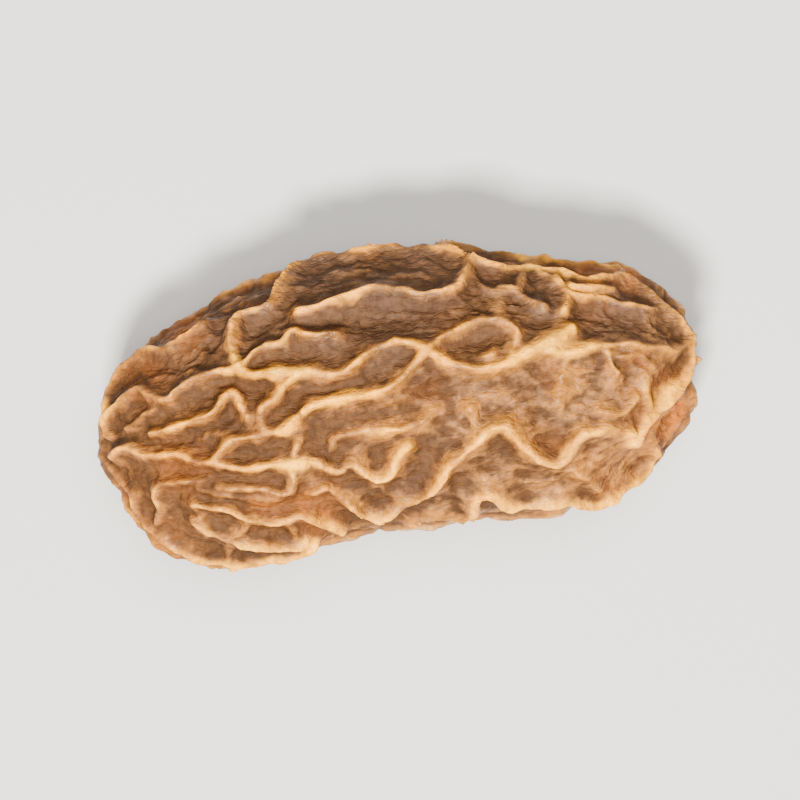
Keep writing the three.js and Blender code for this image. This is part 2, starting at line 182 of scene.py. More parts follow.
# Noise in the relief: the size of its features, in millimetres, and its strength
WAVER = [(1.9, 1), (0.8, 0.5)]
SECOND_WAVER = [(0.7, 0.15)]
STRAY = [(1.1, 0.5)]
BREADTH = [(1.3, 0.4)]
UNEVEN = [(1.6, 0.22), (0.6, 0.09)]
UNEVEN_BELOW = [(3.4, 0.35)]

# Ridges of the fine relief: size, stretch lengthwise, sharpness and the level that counts as none
WRINKLE = (0.55, 2, 3, 0.5)
CRUMPLE = (1.4, 1.6, 4, 0.4)
CREASE = (0.33, 1, 3, 0.5)
CRUMPLE_SHARE = 1.2
CREASE_SHARE = 0.5
CREST_SMOOTHNESS = 0.6

# Soft changes over the skin, each from where it starts to where it ends: towards the apex along x, towards
# the far side along y, and down to the underside and up into the tinged patches from the middle height
# The ramps towards the apex and the far side also darken the skin there: painted shade
APEXWARD = (6, -12)
FARWARD = (1, 7)
DOWNWARD = (1, -2)
PATCH_FADE = (-2.5, 0.5)

# The ball that becomes the date, and the blurs of its relief that tell raised skin from hollow skin
BALL_CUTS = 7
# The material paints the hollow skin darker from these blurs, as painted shade
WIDE_BLUR = 90
CLOSE_BLUR = 20

# The stage, in metres, with the camera's lens in millimetres
TABLE_SIZE = 2
WINDOW_PLACE = (-0.04, -0.13, 0.33)
WINDOW_SIZE = 0.06
WINDOW_COLOUR = (1.0, 0.97, 0.92)
CEILING_PLACE = (0.03, 0.06, 0.44)
CEILING_SIZE = 0.2
CEILING_SHARE = 0.6
CEILING_COLOUR = (1.0, 0.99, 0.97)
DAYLIGHT_COLOUR = (1.0, 0.98, 0.94, 1)
DAYLIGHT_STRENGTH = 0.12
CAMERA_ABOVE = 0.269
CAMERA_LENS = 200
CAMERA_TURN = math.radians(5)

# Crests of the upper side, seen from above: share of the full height, share of the full width, path
CRESTS = {
    "far_shoulder": (1.0, 1.0, [(-9.3, 3.3), (-9.8, 4.6), (-9.0, 6.5), (-7.3, 6.9), (-6.6, 8.0),
                                (-5.1, 9.3), (-3.9, 9.6), (0.4, 9.7), (3.4, 9.4), (4.9, 8.5)]),
    "far_second": (1.0, 1.0, [(-5.6, 6.4), (-4.5, 6.5), (-2.0, 7.2), (-0.6, 7.4), (0.9, 7.1), (2.4, 6.7),
                              (4.1, 7.1), (4.9, 8.5)]),
    "far_right": (0.9, 1.1, [(4.9, 8.5), (6.8, 8.1), (8.8, 7.9), (10.4, 7.4), (12.0, 7.0), (13.4, 6.9),
                             (14.5, 7.0), (15.5, 6.3), (16.4, 5.3), (17.4, 3.9), (18.0, 2.6)]),
    "far_knot": (0.7, 1.0, [(6.4, 6.9), (7.5, 6.6), (7.9, 7.4), (8.4, 8.1)]),
    "far_mass": (0.9, 1.6, [(10.8, 6.7), (12.2, 6.4), (13.4, 6.2)]),
    "far_drop": (0.9, 1.0, [(9.8, 7.1), (10.5, 6.2), (10.3, 5.2)]),
    "far_corner": (0.8, 1.0, [(8.8, 7.8), (10.0, 6.6), (11.2, 6.1), (12.8, 5.8), (14.4, 5.4), (15.6, 5.1),
                              (16.8, 4.7)]),
    "inner_shoulder": (0.9, 0.8, [(-9.3, 3.3), (-8.4, 4.1), (-6.8, 4.5), (-6.1, 5.3), (-5.2, 4.9),
                                  (-3.4, 4.7)]),
    "long_middle": (1.0, 1.1, [(-9.3, 3.3), (-8.3, 2.7), (-5.5, 2.6), (-3.2, 2.3), (-1.8, 3.2), (-0.6, 3.8),
                               (0.5, 3.9), (1.9, 3.3), (3.2, 2.2), (4.6, 1.7), (6.1, 2.0), (8.5, 2.8),
                               (10.6, 3.9)]),
    "s_bend": (1.0, 1.1, [(-5.7, 2.5), (-6.8, 1.8), (-7.3, 1.1), (-8.4, 0.4), (-8.3, -0.6), (-7.1, -0.9),
                          (-6.3, -0.4)]),
    "inner_slant": (1.0, 1.0, [(1.7, 3.2), (1.0, 2.3), (-0.6, 1.0), (-4.4, 0.6), (-5.7, 0.1)]),
    "apex_upper": (0.9, 0.8, [(-18.1, -0.4), (-18.1, 0.7), (-17.4, 1.5), (-15.9, 2.6), (-14.7, 1.8),
                              (-13.7, 2.0), (-11.6, 2.9), (-9.3, 3.3)]),
    "apex_branch": (0.5, 0.8, [(-14.6, 1.7), (-15.2, 0.9), (-17.0, 0.2)]),
    "apex_rim": (0.9, 1.0, [(-18.1, 0.7), (-18.0, 1.7), (-17.5, 3.0), (-15.5, 4.9), (-13.5, 5.3),
                            (-11.1, 6.3)]),
    "apex_peak": (0.9, 0.8, [(-15.1, -0.4), (-13.4, 0.0), (-11.8, 0.3), (-10.9, 0.7), (-9.9, 1.8),
                             (-9.4, 1.0), (-9.1, 0.2)]),
    "apex_low": (0.7, 0.9, [(-12.0, -3.5), (-14.4, -3.5), (-15.3, -4.1), (-15.0, -5.3), (-15.4, -6.5)]),
    "apex_edge": (0.8, 1.0, [(-18.0, -2.2), (-17.4, -3.4), (-16.6, -4.4)]),
    "low_long": (0.9, 0.8, [(-17.6, -1.8), (-16.7, -1.2), (-15.5, -1.8), (-13.9, -1.7), (-12.4, -2.4),
                            (-11.2, -2.5), (-9.6, -3.0), (-5.9, -2.8), (-4.1, -3.7), (-3.2, -3.4),
                            (-1.7, -4.5), (-0.9, -4.1), (-0.5, -3.1), (0.3, -2.5)]),
    "low_arch": (0.9, 0.8, [(-11.3, -2.4), (-10.6, -1.5), (-9.6, -1.0), (-8.1, -1.0)]),
    "node_up": (0.9, 1.0, [(-6.8, -3.0), (-6.5, -2.3), (-6.2, -1.6)]),
    "node_down": (0.9, 0.9, [(-6.8, -3.0), (-6.9, -4.1), (-7.3, -4.8), (-8.8, -4.5), (-11.2, -4.1)]),
    "middle_dome": (0.55, 0.8, [(-4.4, -2.5), (-4.1, -1.8), (-2.5, -1.4), (0.5, -1.5), (1.8, -0.5)]),
    "hook": (1.0, 0.9, [(-3.4, -5.9), (-2.9, -6.6), (-1.9, -6.9), (-0.8, -6.6), (0.0, -6.2), (1.6, -5.4),
                        (2.8, -3.8)]),
    "zig_zag": (1.0, 1.0, [(2.8, -3.8), (4.0, -2.7), (5.9, -1.8), (6.5, -2.3), (7.4, -3.5), (9.0, -4.5),
                           (10.2, -3.0), (11.2, -2.6), (13.6, -2.8)]),
    "zig_branch": (0.6, 0.8, [(4.2, -2.5), (4.3, -1.4), (4.0, -0.5)]),
    "near_left": (1.0, 0.9, [(-12.8, -5.0), (-11.2, -5.5), (-9.8, -6.1), (-8.4, -6.4), (-6.4, -6.5),
                             (-5.2, -7.1), (-4.2, -7.4)]),
    "near_second": (1.0, 0.8, [(-12.8, -6.1), (-12.0, -6.9), (-10.8, -7.4), (-9.6, -7.8), (-8.2, -8.1),
                               (-6.8, -7.9)]),
    "near_edge": (1.0, 1.0, [(-16.6, -4.4), (-16.0, -5.8), (-14.8, -7.2), (-12.4, -8.5), (-10.0, -9.0),
                             (-7.6, -8.8), (-6.2, -8.2)]),
    "near_middle": (0.8, 1.0, [(-0.2, -7.7), (1.2, -7.2), (3.2, -7.6), (3.9, -7.1)]),
    "near_right": (1.0, 1.0, [(3.8, -7.4), (3.9, -6.6), (4.6, -6.0), (5.2, -6.2), (5.8, -6.8), (7.2, -7.0),
                              (9.2, -6.9), (10.8, -7.3), (12.4, -7.1), (13.6, -6.5), (14.5, -5.7),
                              (15.1, -4.7), (15.3, -3.7)]),
    "dip_to_rim": (0.45, 0.8, [(9.0, -4.5), (10.3, -5.4), (11.7, -6.8)]),
    "eye_ring": (0.8, 0.9, [(1.9, 3.3), (3.0, 4.0), (4.2, 4.6), (6.2, 4.8), (7.3, 4.0), (7.1, 3.1),
                            (6.4, 2.2)]),
    "eye_spot": (0.8, 0.8, [(5.2, 2.5), (5.7, 2.8)]),
    "stem_upper": (0.8, 1.3, [(8.8, 2.8), (10.2, 2.4), (11.6, 2.7), (13.6, 2.6), (15.4, 2.2), (16.8, 2.1),
                              (17.9, 2.4)]),
    "stem_upper_drop": (0.7, 0.9, [(12.5, 2.3), (12.8, 1.4), (13.2, 0.8)]),
    "stem_band": (1.0, 1.2, [(18.0, 2.6), (17.9, 1.2), (17.2, 0.2), (16.3, -0.5), (15.4, -1.5),
                             (14.4, -2.5), (13.6, -3.5)]),
    "stem_inner": (0.7, 0.9, [(15.0, 0.8), (14.9, -0.6), (15.3, -1.6)]),
    "stem_knots": (0.6, 0.9, [(12.0, -1.4), (13.2, -1.5), (14.2, -0.6)]),
    "field_crease": (0.45, 1.0, [(10.2, 2.0), (9.8, 0.6), (9.6, -0.5)]),
    "far_link": (0.6, 0.9, [(4.9, 8.5), (5.0, 7.4), (6.0, 6.8), (7.5, 6.5), (8.4, 6.0), (9.2, 5.5)]),
    "hook_start": (0.9, 0.8, [(-6.0, -4.8), (-5.0, -4.6), (-4.2, -5.0), (-3.4, -5.9)]),
    "node_mass": (1.0, 2.2, [(-7.4, -2.9), (-6.1, -2.9)]),
    "near_links": (0.7, 0.8, [(-12.8, -5.0), (-12.5, -5.8), (-12.0, -6.9)]),
    "near_cross": (0.7, 0.8, [(-9.8, -6.1), (-10.1, -6.9), (-10.8, -7.4), (-11.2, -8.7)]),
    "near_ladder": (0.6, 0.8, [(-7.7, -6.4), (-7.2, -7.2), (-7.4, -8.0)]),
    "near_spur": (0.7, 0.8, [(-12.4, -4.0), (-11.0, -4.7), (-9.4, -5.0), (-7.8, -5.2)]),
    "stem_mark": (0.6, 0.8, [(12.8, 2.1), (13.8, 1.7), (14.7, 1.8), (15.4, 1.1)]),
}

# Deep hollows of the upper side, seen from above: x, y, along, across, deep
HOLLOWS = [
    (-0.4, 5.5, 4.6, 1.2, 0.5),
    (13.2, 4.4, 2.6, 1.3, 0.6),
    (-13.4, 3.6, 2.2, 1.0, 0.45),
    (-7.9, 5.4, 1.1, 0.7, 0.35),
    (8.9, -2.8, 1.0, 0.9, 0.35),
    (1.9, 0.8, 1.3, 0.5, 0.35),
    (-7.0, -5.4, 3.0, 0.45, 0.3),
    (4.7, 3.6, 1.1, 0.6, 0.35),
]

# Where the skin is tinged or painted with shade or highlight, seen from above: x, y, radius, strength
AMBER_PATCHES = [
    (-17.6, -4.2, 1.6, 0.5), (-15.2, -7.4, 1.6, 0.6), (-12.5, 5.9, 1.3, 0.8), (14.6, 6.5, 0.8, 0.9),
    (12.4, 6.6, 1.8, 0.35), (-8.4, -5.1, 1.0, 0.6), (-5.6, -5.4, 1.2, 0.7), (-13.0, -2.6, 1.4, 0.5),
    (16.4, -2.2, 2.2, 1.0), (1.8, 0.7, 1.2, 0.25), (8.9, -3.0, 0.9, 0.2), (12.2, -5.4, 1.6, 0.3),
    (-14.8, 2.9, 1.3, 0.4), (14.2, 1.4, 0.8, 0.4), (8.9, 1.4, 0.6, 0.45), (8.9, 0.4, 0.6, 0.4),
]
# Mauve in the broad hollows: partly the skin's own tint and partly painted shade
MAUVE_PATCHES = [
    (0.0, 5.3, 3.4, 1.0), (-4.0, 8.4, 2.8, 1.0), (2.0, 8.6, 2.8, 0.9), (13.2, 4.3, 2.6, 1.0),
    (-13.5, 4.1, 1.8, 0.6), (12.6, -1.0, 1.6, 0.3), (9.0, 5.4, 1.7, 0.8), (5.8, 7.6, 1.2, 0.8),
    (-4.0, 4.4, 2.0, 0.8), (-7.6, 5.2, 1.6, 0.8), (0.6, -4.2, 1.6, 0.4), (4.7, 3.6, 1.1, 0.6),
    (-10.4, 5.3, 1.2, 0.9),
]
# Pale spots where crests and rims catch the light: partly paler skin and partly painted highlight
PALE_PATCHES = [
    (8.8, 2.6, 2.4, 0.9), (10.8, 0.8, 2.4, 0.8), (-6.8, -3.0, 1.7, 1.0), (-9.3, 3.3, 1.0, 0.9),
    (2.4, -7.4, 1.5, 1.0), (-5.8, 2.2, 1.4, 1.0), (5.6, 2.8, 0.4, 0.9), (12.4, -3.8, 2.2, 0.8),
    (-1.2, -2.4, 2.6, 0.8), (12.2, -7.2, 1.5, 1.0), (14.6, -5.8, 1.5, 1.0), (15.2, -0.9, 1.4, 1.0),
    (13.4, 6.9, 1.4, 0.8), (-9.6, -6.4, 2.0, 0.7), (-5.6, -6.9, 1.4, 0.9), (-11.2, -8.6, 2.4, 0.8),
    (-18.0, 1.0, 1.6, 0.8), (10.2, 6.0, 0.8, 0.8), (8.2, 7.4, 1.6, 0.8), (4.8, -1.2, 1.8, 0.5),
    (6.6, -5.6, 2.4, 0.5), (-3.6, 0.2, 2.4, 0.6), (-13.0, 0.4, 2.0, 0.4), (6.6, 0.6, 1.6, 0.2),
    (9.6, -5.4, 2.0, 0.6), (13.2, -5.0, 1.8, 0.7), (13.4, -6.8, 1.2, 1.0), (-6.4, 2.4, 1.6, 0.9),
    (-10.6, -0.8, 1.6, 0.5),
]


def soft_step(start, end, value):
    """0 before start, 1 after end, and a smooth rise between them."""
    t = np.clip((value - start) / (end - start), 0, 1)
    return t * t * (3 - 2 * t)


def sway(x):
    """How far the middle line lies to the side at x."""
    return SWAY_START + sum(shift / 2 * (1 + np.tanh((x - at) / span)) for at, span, shift in SWAY_STEPS)


def slimness(x):
    """The width at x as a share of the width at the apex half."""
    return 1 - STEM_SLIMNESS / 2 * (1 + np.tanh((x - SLIM_FROM) / SLIM_SPAN))


def side_bulge(points):
    """How far the outline's bulges move each point, measured from the middle line, to the side."""
    shift = np.zeros(len(points))
    for at, span, side, outwards in SIDE_BULGES:
        share = np.clip(side * points[:, 1] / HALF[1], 0, 1)
        shift += side * outwards * share * np.exp(-((points[:, 0] - at) / span) ** 2)
    return shift


def press_stem_end(points):
    """The stem end is pressed back to the oblique plane of the scar."""
    past = (points - SCAR_CENTRE) @ SCAR_FACING
    push = PRESS_SHARE * (past + np.hypot(past, PRESS_ROUND)) / 2
    return points - push[:, None] * SCAR_FACING


def outline_power(directions):
    """The power that rounds the body's ends, in the given directions from its middle."""
    x, y, z = directions.T
    corner = (1 + np.sign(x) * y / np.maximum(np.hypot(y, z), 1e-9)) / 2
    return OUTLINE_POWER + CORNER_FULLNESS * corner ** 2


def body_points(directions):
    """The points of the smooth body in the given directions from its middle."""
    power = outline_power(directions)
    x, y, z = np.abs(directions).T
    across = (y ** SECTION_POWER + z ** SECTION_POWER) ** (1 / SECTION_POWER)
    reach = (x ** power + across ** power) ** (-1 / power)
    points = directions * HALF * reach[:, None]
    points[:, 1] = points[:, 1] * slimness(points[:, 0]) + side_bulge(points) + sway(points[:, 0])
    points[:, 2] += MIDDLE_HEIGHT
    return press_stem_end(points)


def body_normals(directions):
    """The outward normals of the smooth body in the given directions from its middle."""
    power = outline_power(directions)
    x, y, z = np.abs(directions).T
    across = (y ** SECTION_POWER + z ** SECTION_POWER) ** (1 / SECTION_POWER)
    slope = across ** (power - SECTION_POWER)
    steep = [x ** (power - 1), slope * y ** (SECTION_POWER - 1), slope * z ** (SECTION_POWER - 1)]
    normals = np.sign(directions) * np.stack(steep, 1) / HALF
    return normals / np.linalg.norm(normals, axis=1)[:, None]


def over_plan(plan):
    """The points of the smooth body whose crests, raised on them, stand over points of the plan."""
    plan = np.array(plan, float)
    x, y = plan.T
    directions = np.stack([x / HALF[0], (y - sway(x)) / HALF[1], np.ones(len(plan))], 1)
    for _ in range(PLAN_ROUNDS):
        directions[:, 2] = np.maximum(LEAST_RISE, 1 - np.hypot(directions[:, 0], directions[:, 1]) ** 3)
        crests = body_points(directions) + FOLD_HEIGHT * body_normals(directions)
        directions[:, :2] += PLAN_GAIN * (plan - crests[:, :2]) / HALF[:2]
    return body_points(directions)


def smooth_path(path):
    """A soft curve through the points of a path."""
    points = np.concatenate([[2 * path[0] - path[1]], path, [2 * path[-1] - path[-2]]])
    before, start, end, after = points[:-3], points[1:-2], points[2:-1], points[3:]
    bends = []
    for t in np.arange(1, PATH_STEPS + 1) / PATH_STEPS:
        square = (2 * before - 5 * start + 4 * end - after) * t ** 2
        cube = (3 * start - before - 3 * end + after) * t ** 3
        bends.append(start + ((end - before) * t + square + cube) / 2)
    return np.concatenate([path[:1], np.stack(bends, 1).reshape(-1, 3)])


def neighbourhoods(points, ring_length=2, slices=16):
    """Groups of points that lie close together: short rings of the body, cut like a cake."""
    ring = np.floor(points[:, 0] / ring_length)
    around = np.arctan2(points[:, 2] - MIDDLE_HEIGHT, points[:, 1])
    cell = ring * slices + np.floor(slices / 2 * around / math.pi)
    order = np.argsort(cell, kind="stable")
    return np.split(order, np.flatnonzero(np.diff(cell[order])) + 1)


class Folds:
    """Crest lines over the body, each with its share of the full height and width."""

    def __init__(self):
        self.high = []
        self.wide = []
        self.paths = []
        self.stretches = None

    def add(self, high, wide, path):
        """Adds one fold."""
        self.high.append(high)
        self.wide.append(wide)
        self.paths.append(np.array(path))
        self.stretches = None

    def part(self, first, last):
        """Some of the folds, on soft curves."""
        some = Folds()
        for i in range(first, last):
            some.add(self.high[i], self.wide[i], smooth_path(self.paths[i]))
        return some

    def straights(self):
        """Start, run and squared length of each straight stretch, and the number of its fold."""
        if self.stretches is None:
            starts = np.concatenate([path[:-1] for path in self.paths])
            runs = np.concatenate([np.diff(path, axis=0) for path in self.paths])
            owner = np.repeat(np.arange(len(self.paths)), [len(path) - 1 for path in self.paths])
            self.stretches = starts, runs, np.maximum((runs * runs).sum(1), 1e-9), owner
        return self.stretches

    def nearest(self, point):
        """Distance from one point to the nearest crest, and the crest's point there."""
        starts, runs, run_square, _ = self.straights()
        share = np.clip(((point - starts) * runs).sum(1) / run_square, 0, 1)
        feet = starts + share[:, None] * runs
        gaps = np.linalg.norm(feet - point, axis=1)
        return gaps.min(), feet[gaps.argmin()]

    def crest(self, points, width, rounding):
        """How much of a full fold stands at each point, from 0 to about 1."""
        starts, runs, run_square, owner = self.straights()
        high, wide = np.array(self.high), np.array(self.wide)
        reach = CREST_REACH * width.max()
        out = np.zeros(len(points))
        for group in neighbourhoods(points):
            here = points[group]
            middle = here.mean(0)
            around = np.linalg.norm(here - middle, axis=1).max() + reach
            near = np.linalg.norm(starts + runs / 2 - middle, axis=1) < around + np.sqrt(run_square) / 2
            if not near.any():
                continue
            start, run, folds = starts[near], runs[near], owner[near]
            along = np.clip((here @ run.T - (start * run).sum(1)) / run_square[near], 0, 1)
            square = sum(
                (here[:, axis, None] - start[:, axis] - along * run[:, axis]) ** 2
                for axis in range(3))
            first = np.flatnonzero(np.diff(folds, prepend=-1))
            away = np.hypot(np.sqrt(np.minimum.reduceat(square, first, axis=1)), rounding) - rounding
            fold = folds[first]
            shares = (high[fold] * np.exp(-away / (width[group, None] * wide[fold]))) ** CREST_BLEND
            out[group] = shares.sum(1) ** (1 / CREST_BLEND)
        return out


def make_random(seed):
    """A small generator of numbers from 0 to 1, the same on every machine."""
    state = seed
    while True:
        state = (state * 1664525 + 1013904223) & 0xFFFFFFFF
        yield state / 4294967296


def step_over(direction, lengthwise, around):
    """One step over the body, from one direction to the next."""
    around_axis = np.array([0, -direction[2], direction[1]])
    around_axis /= np.linalg.norm(around_axis)
    long_axis = np.cross(around_axis, direction)
    long_axis /= np.linalg.norm(long_axis)
    long_scale = math.hypot(long_axis[0] * HALF[0], math.hypot(long_axis[1], long_axis[2]) * HALF[1])
    moved = direction + long_axis * lengthwise / long_scale + around_axis * around / HALF[1]
    return moved / np.linalg.norm(moved)


def wander(start, forward, folds, random, rule):
    """One end of a grown fold: it runs lengthwise until it meets another fold or leaves its region."""
    path = []
    direction = start
    heading = 0.0
    for _ in range(rule["steps"]):
        heading = HEADING_KEPT * heading + rule["turn"] * (next(random) - 0.5)
        ahead = forward * rule["step"] * math.cos(heading)
        direction = step_over(direction, ahead, rule["step"] * math.sin(heading))
        if direction[2] > rule["limit"] or abs(direction[0]) > TIP_LIMIT:
            break
        point = body_points(direction[None])[0]
        gap, meeting = folds.nearest(point)
        if gap < rule["join"]:
            path.append(meeting)
            break
        path.append(point)
    return path


def grow_folds(folds, rule):
    """Adds folds where the skin still has room for them."""
    random = make_random(rule["seed"])
    for _ in range(rule["tries"]):
        turn = 2 * math.pi * next(random)
        x = 2 * next(random) - 1
        ring = math.sqrt(1 - x * x)
        start = np.array([x, ring * math.cos(turn), ring * math.sin(turn)])
        middle = body_points(start[None])[0]
        if start[2] > rule["limit"] or folds.nearest(middle)[0] < rule["spacing"]:
            continue
        back = wander(start, -1, folds, random, rule)[::-1]
        ahead = wander(start, 1, folds, random, rule)
        path = [*back, middle, *ahead]
        if len(path) >= LEAST_POINTS:
            high = 0.7 + 0.3 * next(random)
            wide = 0.8 + 0.35 * next(random)
            folds.add(high, wide, path)
    return folds


def all_folds():
    """The folds read from the fruit, and those grown on its underside."""
    folds = Folds()
    for high, wide, path in CRESTS.values():
        folds.add(high, wide, over_plan(path))
    return grow_folds(folds, GROWN)


def high_and_low_folds():
    """The folds themselves, and the low ones that grow in the room that they leave."""
    folds = all_folds()
    count = len(folds.paths)
    grow_folds(folds, SECOND)
    return folds.part(0, count), folds.part(count, len(folds.paths))


def hollow_depth(points):
    """How deep the broad hollows of the upper side are at each point."""
    depth = np.zeros(len(points))
    for x, y, along, across, deep in HOLLOWS:
        depth += deep * np.exp(-((points[:, 0] - x) / along) ** 2 - ((points[:, 1] - y) / across) ** 2)
    return np.where(points[:, 2] > MIDDLE_HEIGHT, depth, 0)


def patches(points, places):
    """How strongly soft patches of the upper side tinge each point."""
    tinge = np.zeros(len(points))
    for x, y, radius, strength in places:
        spread = np.hypot(points[:, 0] - x, points[:, 1] - y) / radius
        tinge = np.maximum(tinge, strength * np.exp(-spread ** 2))
    return tinge * soft_step(*PATCH_FADE, points[:, 2] - MIDDLE_HEIGHT)


def free_share(points):
    """How freely the folds stand: none where the date lies on them pressed together."""
    spread = (points[:, 0] / REST_HALF_LENGTH) ** 2 + ((points[:, 1] - REST_Y) / REST_HALF_WIDTH) ** 2
    return np.where(points[:, 2] < MIDDLE_HEIGHT, soft_step(*REST_FADE, spread), 1)


def cap_share(points):
    """How far each point lies in the blunt cap of the apex."""
    return 1 - soft_step(*CAP_FADE, np.linalg.norm(points - APEX, axis=1) / CAP_RADIUS)


def apex_dimple(points):
    """How deep the dimple of the apex is at each point."""
    return CAP_DIMPLE * np.exp(-((np.linalg.norm(points - APEX, axis=1) / DIMPLE_RADIUS) ** 2))


def scar_shape(points):
    """The scar's own relief, and how far in the scar each point is."""
    offset = points - SCAR_CENTRE
    along = offset @ SCAR_FACING
    radius = np.linalg.norm(offset - along[:, None] * SCAR_FACING, axis=1)
    on_face = soft_step(*SCAR_DEPTH_FADE, along)
    inside = on_face * (1 - soft_step(*SCAR_EDGE_FADE, radius / SCAR_RADIUS))
    ring = SCAR_RING * np.exp(-((radius - SCAR_RADIUS) / SCAR_RING_WIDTH) ** 2)
    pit = SCAR_PIT * np.exp(-(radius / SCAR_PIT_RADIUS) ** 2)
    return SCAR_FLOOR * inside + on_face * (ring - pit), inside


def select_only(piece):
    """Deselects everything, then selects and activates one object."""
    bpy.ops.object.select_all(action="DESELECT")
    piece.select_set(True)
    bpy.context.view_layer.objects.active = piece


def even_ball(cuts):
    """A round ball of even four-sided faces: a subdivided cube cast to a sphere."""
    bpy.ops.object.select_all(action="DESELECT")
    bpy.ops.mesh.primitive_cube_add(size=2, location=(0, 0, 0))
    ball = bpy.context.active_object
    finer = ball.modifiers.new("finer", "SUBSURF")
    finer.subdivision_type = "SIMPLE"
    finer.levels = finer.render_levels = cuts
    bpy.ops.object.modifier_apply(modifier=finer.name)
    rounder = ball.modifiers.new("rounder", "CAST")
    rounder.cast_type = "SPHERE"
    rounder.factor = 1
    bpy.ops.object.modifier_apply(modifier=rounder.name)
    return ball


def read_mesh(mesh, what):
    """The vertices' places or normals as an array of three columns."""
    values = np.empty(3 * len(mesh.vertices), np.float32)
    mesh.vertices.foreach_get(what, values)
    return values.reshape(-1, 3).astype(float)


def write_places(mesh, points):
    """Puts the vertices at the given places, in millimetres."""
    mesh.vertices.foreach_set("co", (points * MM).astype(np.float32).ravel())
    mesh.update()


def mark(mesh, name, values):
    """Keeps one number for each vertex, for the material to read."""
    mesh.attributes.new(name, "FLOAT", "POINT").data.foreach_set("value", values.astype(np.float32))


def noise_field(points, size, stretch=1):
    """Smooth noise from -1 to 1 at each point, with features of the given size, stretched lengthwise."""
    scaled = points / (np.array([stretch, 1, 1]) * size)
    return np.array([noise.noise(Vector(p)) for p in scaled])


def noise_push(points, size):
    """A smooth random push for each point, up to about 1 along each axis."""
    return np.array([noise.noise_vector(Vector(p)) for p in points / size])


def noises(kind, points, parts):
    """The sum of noises of one kind, each part with its own size and strength."""
    return sum(strength * kind(points, size) for size, strength in parts)


def ridges(points, size, stretch, sharpness, level):
    """Small ridges where smooth noise passes zero, measured from a level between them."""
    return (1 - np.abs(noise_field(points, size, stretch))) ** sharpness - level


def fine_ridges(body):
    """The wrinkles, crumples and creases between the folds, as a share of their full height."""
    strayed = body + noises(noise_push, body, STRAY)
    wrinkled = ridges(strayed, *WRINKLE) + CRUMPLE_SHARE * ridges(strayed, *CRUMPLE)
    return wrinkled + CREASE_SHARE * ridges(body, *CREASE)


def fold_shares(body, waver):
    """How much of a full crest, of its edge and of a low fold stands at each point."""
    folds, low = high_and_low_folds()
    wavering = body + waver * noises(noise_push, body, WAVER)
    breadth = 1 + noises(noise_field, body, BREADTH)
    crest = folds.crest(wavering, CREST_WIDTH * breadth, CREST_ROUND)
    edge = folds.crest(wavering, EDGE_WIDTH * breadth, EDGE_ROUND)
    strayed = body + noises(noise_push, body, SECOND_WAVER)
    second = low.crest(strayed, SECOND_WIDTH * breadth, SECOND_ROUND)
    fade = noise_field(body, SECOND_PATCH) - SECOND_TO_STEM * body[:, 0]
    return crest, edge, second * soft_step(-SECOND_FADE, SECOND_FADE, fade)


def fold_height(body, crest, edge, uneven):
    """How high the folds stand, as a share of the full height, with the apex and the resting spot."""
    fold = ((1 - EDGE_SHARE) * crest + EDGE_SHARE * edge) * uneven
    fold += cap_share(body) * (CAP_SHARE - fold)
    return 1 + free_share(body) * (fold - 1)


def spread_over(mesh, values, rounds):
    """Values blurred over the mesh: each round takes the mean of a vertex and its neighbours."""
    pairs = np.empty(2 * len(mesh.edges), np.int32)
    mesh.edges.foreach_get("vertices", pairs)
    one, other = pairs.reshape(-1, 2).T
    ends = np.concatenate([one, other])
    count = 1 + np.bincount(ends, minlength=len(values))
    for _ in range(rounds):
        around = np.bincount(ends, np.concatenate([values[other], values[one]]), len(values))
        values = (values + around) / count
    return values


def mark_skin(mesh, body, relief, in_scar, lower, crest):
    """Keeps what the skin's material reads: how raised, worn, low and tinged each point is, and where shade
    is painted.
    """
    wide = spread_over(mesh, relief, WIDE_BLUR)
    close = spread_over(mesh, relief, CLOSE_BLUR)
    apexward = soft_step(*APEXWARD, body[:, 0])
    farward = soft_step(*FARWARD, body[:, 1])
    # How raised each point stands over its blurred relief; the hollows are painted darker from it: painted
    # shade
    mark(mesh, "raised", relief - (wide + close) / 2)
    mark(mesh, "crest", crest)
    mark(mesh, "apexward", apexward)
    # Painted shade on the far side and towards the apex
    mark(mesh, "painted_shade", np.clip(apexward + farward, 0, 1))
    mark(mesh, "lower", lower)
    mark(mesh, "amber", np.maximum(in_scar, patches(body, AMBER_PATCHES)))
    # Mauve patches: partly the skin's tint and partly painted shade
    mark(mesh, "mauve", patches(body, MAUVE_PATCHES))
    # Pale patches: partly paler skin and partly painted highlight
    mark(mesh, "pale", patches(body, PALE_PATCHES))


class DateShape(bpy.types.PropertyGroup):
    fold_share: FloatProperty(
        name="Fold height", description="Height of the folds as a share of the part's own",
        default=1.0, min=0.2, max=1.5, subtype="FACTOR")
    waver: FloatProperty(
        name="Crest waver", description="How far a crest strays from its line, in millimetres",
        default=0.22, min=0, max=1)
    second_height: FloatProperty(
        name="Low fold height", description="Height of the low folds, in millimetres",
        default=0.30, min=0, max=1)
    fine_height: FloatProperty(
        name="Fine wrinkle height", description="Height of the fine wrinkles, in millimetres",
        default=0.13, min=0, max=0.5)


